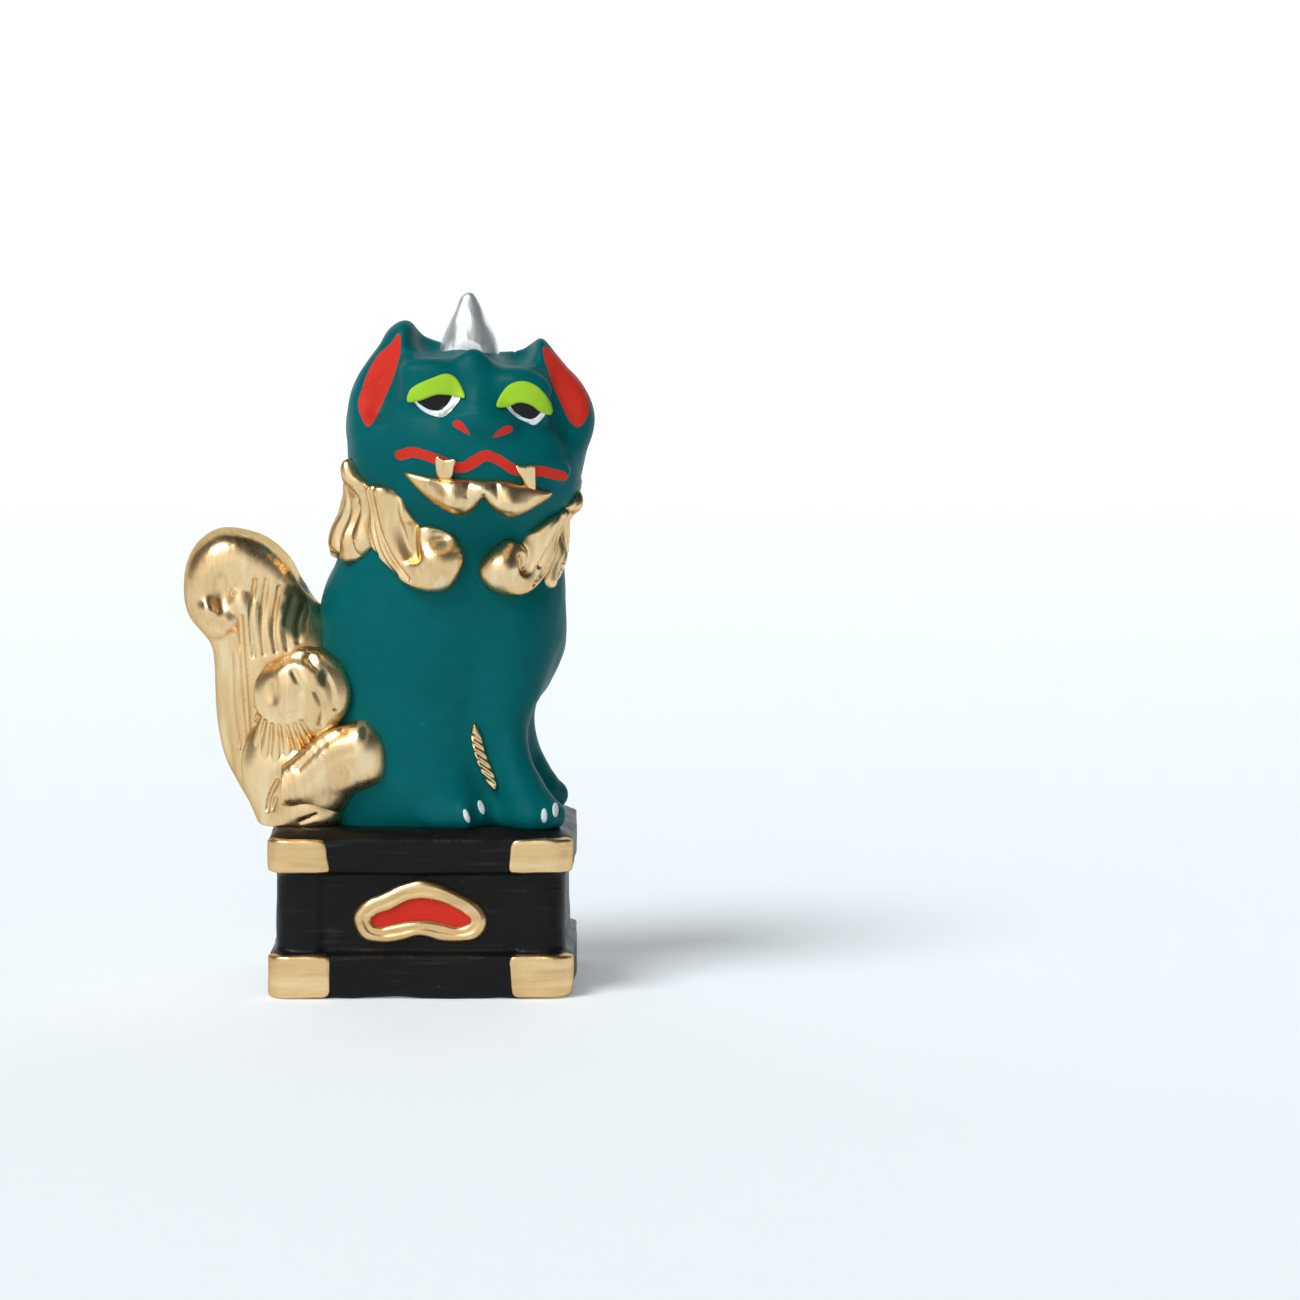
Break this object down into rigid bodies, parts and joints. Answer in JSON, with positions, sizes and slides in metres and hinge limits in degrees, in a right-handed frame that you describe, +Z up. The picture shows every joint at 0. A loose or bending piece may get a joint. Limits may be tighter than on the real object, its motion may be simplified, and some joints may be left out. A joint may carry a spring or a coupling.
{
  "type": "guardian lion-dog figurine",
  "caption": "Small painted clay guardian lion-dog with a horn, gilt mane and curled tail, seated on a black plinth with gilt corners.",
  "frame": {"origin": "centre of the plinth's underside, on the axis of the vent hole", "axes": "+Z up; the body faces +X with its tail at -X; the head is turned to look along -Y, which is the front"},
  "size_m": [0.0494, 0.0297, 0.0843],
  "materials": {
    "black_lacquer": "black satin paint on fired clay, faint brush streaks",
    "gilt": "gold metallic paint on fired clay, brushed, small cast bubbles",
    "vermilion": "vermilion satin paint on fired clay",
    "teal_clay": "deep teal satin paint on fired clay, slightly mottled",
    "claw_white": "silvery white paint dabs",
    "eye_black": "black gloss paint over a silver-white eye",
    "lime": "lime green satin paint",
    "silvering": "silver metallic paint, streaky"
  },
  "bodies": {
    "root": {"plinth": "black_lacquer", "upper_corner_mounts": "gilt", "lower_corner_mounts": "gilt", "cartouche_frame": "gilt", "cartouche_field": "vermilion", "torso": "teal_clay", "right_haunch": "teal_clay", "left_haunch": "teal_clay", "right_foreleg": "teal_clay", "left_foreleg": "teal_clay", "right_hind_paw": "teal_clay", "left_hind_paw": "teal_clay", "right_elbow_tuft": "gilt", "left_elbow_tuft": "gilt", "fore_claws": "claw_white", "hind_claws": "claw_white", "head": "teal_clay", "right_ear": "teal_clay", "left_ear": "teal_clay", "right_eye": "eye_black", "left_eye": "eye_black", "right_eyelid": "lime", "left_eyelid": "lime", "chin_beard": "gilt", "right_fang": "gilt", "left_fang": "gilt", "horn": "silvering", "right_mane_curl": "gilt", "left_mane_curl": "gilt", "right_mane_lock": "gilt", "left_mane_lock": "gilt", "nape_mane": "gilt", "tail_plume": "gilt", "right_tail_curl": "gilt", "left_tail_curl": "gilt", "right_tail_foot": "gilt", "left_tail_foot": "gilt", "right_rump_curl": "gilt", "left_rump_curl": "gilt"}
  },
  "joints": []
}
